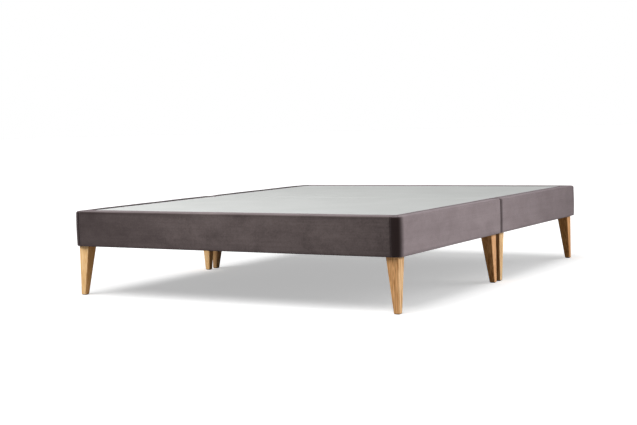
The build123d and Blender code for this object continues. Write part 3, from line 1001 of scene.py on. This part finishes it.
def grained_wood(name, light, dark, grain_axis, roughness, edge_darkening=0.0, x_face_light=None):
    """Wood with growth rings, fine streaks and short pores, with painted light and shade on the faces across
    X when a tone is given, and darker edges.
    """
    made, tree, shader = new_material(name, roughness, specular=0.1)
    ring_space, streak_space, pore_space = [grain_space(tree, grain_axis, pair) for pair in GRAIN_STRETCHES]
    rings = noise_value(tree, ring_space, scale=5.5, detail=2, distortion=0.5)
    streaks = noise_value(tree, streak_space, scale=1.0, detail=4, roughness=0.65)
    pits = noise_value(tree, pore_space, scale=1.0, detail=1)
    bands = calculate(tree, "SINE", calculate(tree, "MULTIPLY", rings, RING_WAVES))
    bands = remap(tree, bands, -1, 1, -RING_SWING, RING_SWING)
    fine = remap(tree, streaks, *NOISE_MIDDLE, -STREAK_SWING, STREAK_SWING)
    colour = mix_colours(tree, remap(tree, calculate(tree, "ADD", bands, fine), -1, 1), dark, light)
    pored = remap(tree, pits, *PORE_RANGE, 0, PORE_DEPTH)
    colour = mix_colours(tree, pored, colour, tuple(c * PORE_TONE for c in dark))
    drift = noise_value(tree, object_space(tree), scale=1.1, detail=0)
    drift = remap(tree, drift, *DRIFT_RANGE, *DRIFT_TONES)
    toned = add_node(tree, "ShaderNodeVectorMath", operation="SCALE")
    tree.links.new(colour, toned.inputs[0])
    tree.links.new(drift, toned.inputs["Scale"])
    colour = toned.outputs["Vector"]
    if x_face_light:
        colour = face_light_tint(tree, colour, x_face_light)
    if edge_darkening:
        colour = darkened_edges(tree, colour, dark, edge_darkening)
    height = calculate(tree, "SUBTRACT", streaks, pored)
    dress(tree, shader, colour, height, distance=0.0003, strength=0.35)
    return made


# Steel

STEEL_TONES = ((0.52, 0.53, 0.54), (0.68, 0.68, 0.66))
STEEL_STRETCH = (900, 40, 900)
STEEL_BRUSHING = (0.2, 0.8)
STEEL_ROUGHNESS = (0.28, 0.5)


def steel_material():
    """Bright plated steel with a fine brushed finish."""
    made, tree, shader = new_material("steel", roughness=0.38, others={"Metallic": 1.0})
    brushed = noise_value(tree, object_space(tree, STEEL_STRETCH), scale=1.0, detail=3, roughness=0.6)
    cloud = noise_value(tree, object_space(tree), scale=60, detail=2)
    tree.links.new(remap(tree, brushed, *STEEL_BRUSHING, *STEEL_ROUGHNESS), shader.inputs["Roughness"])
    dress(tree, shader, mix_colours(tree, cloud, *STEEL_TONES), brushed, distance=0.00008, strength=0.3)
    return made


# One of each material

velvets = {where: velvet_material(f"{where}_velvet", *look) for where, look in LIT_AND_SHADED_VELVETS.items()}
top_cloth = top_cloth_material()
lining = fibrous_material(
    "lining", 0.95, 0.1, LINING_TONES,
    fibres=dict(scale=420, detail=4, roughness=0.7, distortion=1.2),
    relief=dict(distance=0.0003, strength=0.5),
)
dust_cover = dust_cover_material()
padding = fibrous_material(
    "padding", 1.0, 0.1, PADDING_TONES,
    fibres=dict(scale=160, detail=4, roughness=0.7, distortion=1.5),
    relief=dict(distance=0.0012, strength=0.6),
    stretch=PADDING_STRETCH,
)
steel = steel_material()
glide = fibrous_material(
    "glide", 0.6, 0.4, GLIDE_TONES,
    fibres=dict(scale=1600, detail=2, roughness=0.6),
    relief=dict(distance=0.0001, strength=0.4),
)
leg_woods = {
    where: grained_wood(name, light, dark, "Z", 0.5, edge_darkening=0.5, x_face_light=x_face_light)
    for where, (name, light, dark, x_face_light) in LEG_WOODS.items()
}
rail_wood = grained_wood("rail_wood", *FRAME_TONES, "Y", 0.7)
cross_wood = grained_wood("cross_wood", *FRAME_TONES, "X", 0.7)
board_wood = grained_wood("board_wood", *BOARD_WOOD_TONES, "Y", 0.8)


# The part's pieces

LEG_EDGE = 0.0006
FRAME_EDGE = 0.001
STEEL_EDGE = 0.0003
SOFTEN_ANGLE = 30
SOFTEN_SEGMENTS = 2


def cover_with(made, material):
    """Puts one material in every slot of an object."""
    if made.material_slots:
        for slot in made.material_slots:
            slot.material = material
    else:
        made.data.materials.append(material)
    return made


def soften_edges(made, width):
    """Rounds the hard edges of an object a little."""
    bevel = made.modifiers.new("Soft edges", "BEVEL")
    bevel.width = width
    bevel.segments = SOFTEN_SEGMENTS
    bevel.limit_method = "ANGLE"
    bevel.angle_limit = math.radians(SOFTEN_ANGLE)


def rigid_look(name):
    """The material of a rigid node and the width of its softened edges, by its name."""
    if name.endswith("_leg"):
        return next(wood for where, wood in leg_woods.items() if where in name), LEG_EDGE
    if name == "leg_glides":
        return glide, None
    if name.endswith("_deck_board"):
        return board_wood, None
    if name.endswith(("_left_rail", "_right_rail")) or "_joist_" in name:
        return rail_wood, FRAME_EDGE
    if name.endswith(("_rail", "_block")):
        return cross_wood, FRAME_EDGE
    return steel, STEEL_EDGE


# Soft pieces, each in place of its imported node
for end in END_SIGNS:
    pad = cover_with(make_top_pad(end), padding)
    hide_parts(f"{end}_top_pad")
    wadding = cover_with(make_side_wadding(end), padding)
    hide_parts(f"{end}_side_wadding")
    for piece, fill in ((pad, PAD_FILL), (wadding, WADDING_FILL)):
        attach(piece, "base")

    split_rail, outer_rail = cad_nodes[f"{end}_split_rail"], cad_nodes[f"{end}_outer_rail"]
    sheets = [
        (*make_top_cloth(end), top_cloth, "top_cloth", f"{end}_top_cloth", pad),
        (*make_split_lining(end), lining, "lining", f"{end}_split_lining", split_rail),
        (*make_dust_cover(end), dust_cover, "dust_cover", f"{end}_dust_cover", outer_rail),
        (*make_end_border(end), velvets[end], "velvet", f"{end}_end_border", wadding),
        (*make_side_border(end, "left"), velvets["side"], "velvet", f"{end}_left_border", wadding),
        (*make_side_border(end, "right"), velvets["side"], "velvet", f"{end}_right_border", wadding),
    ]
    for piece, flat, material, slot_name, node, support in sheets:
        cover_with(piece, material)
        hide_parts(node)
        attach(piece, "base")

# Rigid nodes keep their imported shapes, with softened edges
for name, node in cad_nodes.items():
    if not node.hide_render:
        material, edge_width = rigid_look(name)
        cover_with(node, material)
        if edge_width:
            soften_edges(node, edge_width)


# Floor, light and camera. Azimuth 0 lies at -Y and 90 at +X; angles are in degrees.

FLOOR_REACH = 60
FLOOR_TONES = ((0.89, 0.89, 0.89), (0.90, 0.90, 0.90))
FLOOR_GREY = (0.45, 0.45, 0.45)
FLOOR_LIFT = 0.43
WHITE = (1, 1, 1, 1)
DOME_STRENGTH = 0.12
CAMERA_PLACE = (2.69316, -4.74740, 0.69356)
CAMERA_TURN = (85.722, 1.634, 30.603)
CAMERA_LENS = 68.63
CAMERA_SENSOR = 36
CAMERA_REACH = 200


def seen_by_camera(tree):
    """1 where the camera looks, straight, by a reflection or through something, and else 0."""
    ray = add_node(tree, "ShaderNodeLightPath")
    seen = calculate(tree, "MAXIMUM", ray.outputs["Is Camera Ray"], ray.outputs["Is Glossy Ray"])
    return calculate(tree, "MAXIMUM", seen, ray.outputs["Is Transmission Ray"])


def make_floor():
    """A pale floor that shows white to the camera and keeps the base's shadow."""
    mesh = bmesh.new()
    corners = ((-1, -1), (1, -1), (1, 1), (-1, 1))
    mesh.faces.new([mesh.verts.new((x * FLOOR_REACH, y * FLOOR_REACH, 0)) for x, y in corners])
    floor = finish_mesh(mesh, "floor", lambda point: Vector((0, 0, 1)), shade_smooth=False)
    material, tree, shader = new_material("floor", roughness=1, specular=0, others={"Emission Color": WHITE})
    tone = noise_value(tree, object_space(tree), scale=0.4, detail=1)
    seen = seen_by_camera(tree)
    white = mix_colours(tree, tone, *FLOOR_TONES)
    tree.links.new(mix_colours(tree, seen, FLOOR_GREY, white), shader.inputs["Base Color"])
    tree.links.new(calculate(tree, "MULTIPLY", seen, FLOOR_LIFT), shader.inputs["Emission Strength"])
    floor.data.materials.append(material)
    return floor


def make_world():
    """Soft light from all round, and white where the camera sees past the floor."""
    world = bpy.data.worlds.new("studio")
    bpy.context.scene.world = world
    world.use_nodes = True
    tree = world.node_tree
    background = tree.nodes["Background"]
    background.inputs["Color"].default_value = WHITE
    strength = remap(tree, seen_by_camera(tree), 0, 1, DOME_STRENGTH, 1)
    tree.links.new(strength, background.inputs["Strength"])


def towards_lamp(azimuth, elevation):
    """The direction of a lamp."""
    turn, rise = math.radians(azimuth), math.radians(elevation)
    return Vector((math.sin(turn) * math.cos(rise), -math.cos(turn) * math.cos(rise), math.sin(rise)))


def add_lamp(name, kind, direction, distance=0):
    """A lamp that shines from a direction, at a distance from the middle."""
    lamp = bpy.data.lights.new(name, kind)
    made = bpy.data.objects.new(name, lamp)
    bpy.context.scene.collection.objects.link(made)
    made.rotation_mode = "QUATERNION"
    made.rotation_quaternion = direction.to_track_quat("Z", "Y")
    made.location = direction * distance
    return made


def add_sun(name, azimuth, elevation, strength, softness):
    """A lamp like the sun."""
    made = add_lamp(name, "SUN", towards_lamp(azimuth, elevation))
    made.data.energy = strength
    made.data.angle = math.radians(softness)
    return made


def add_softbox(name, azimuth, elevation, strength, softness, distance):
    """A round lamp at a distance, as strong there as a sun of the same strength."""
    made = add_lamp(name, "AREA", towards_lamp(azimuth, elevation), distance)
    made.data.shape = "DISK"
    made.data.size = 2 * distance * math.tan(math.radians(softness) / 2)
    made.data.energy = strength * math.pi * distance ** 2
    return made


def keep_light_on(lamp, stage, on_stage):
    """Lets a lamp light only the stage, or everything but the stage."""
    lit = bpy.data.collections.new(f"{lamp.name}_reach")
    lit.objects.link(stage)
    if not on_stage:
        lit.collection_objects[0].light_linking.link_state = "EXCLUDE"
    lamp.light_linking.receiver_collection = lit


def make_camera():
    """The camera, fitted to the photo."""
    lens = bpy.data.cameras.new("camera")
    lens.lens = CAMERA_LENS
    lens.sensor_width = CAMERA_SENSOR
    lens.clip_end = CAMERA_REACH
    camera = bpy.data.objects.new("camera", lens)
    bpy.context.scene.collection.objects.link(camera)
    camera.location = CAMERA_PLACE
    camera.rotation_euler = [math.radians(angle) for angle in CAMERA_TURN]
    bpy.context.scene.camera = camera


floor = make_floor()
make_world()
part_lamps = [
    add_softbox("front_left_light", azimuth=-38, elevation=38, strength=2.65, softness=30, distance=4.9),
    add_sun("right_light", azimuth=95, elevation=28, strength=2.6, softness=30),
]
floor_lamps = [
    add_sun("floor_light", azimuth=-15, elevation=65, strength=2.3, softness=55),
    add_sun("floor_fill_light", azimuth=135, elevation=18, strength=1.5, softness=60),
]
for lamp in part_lamps:
    keep_light_on(lamp, floor, on_stage=False)
for lamp in floor_lamps:
    keep_light_on(lamp, floor, on_stage=True)
make_camera()
bpy.context.scene.view_settings.view_transform = "Standard"
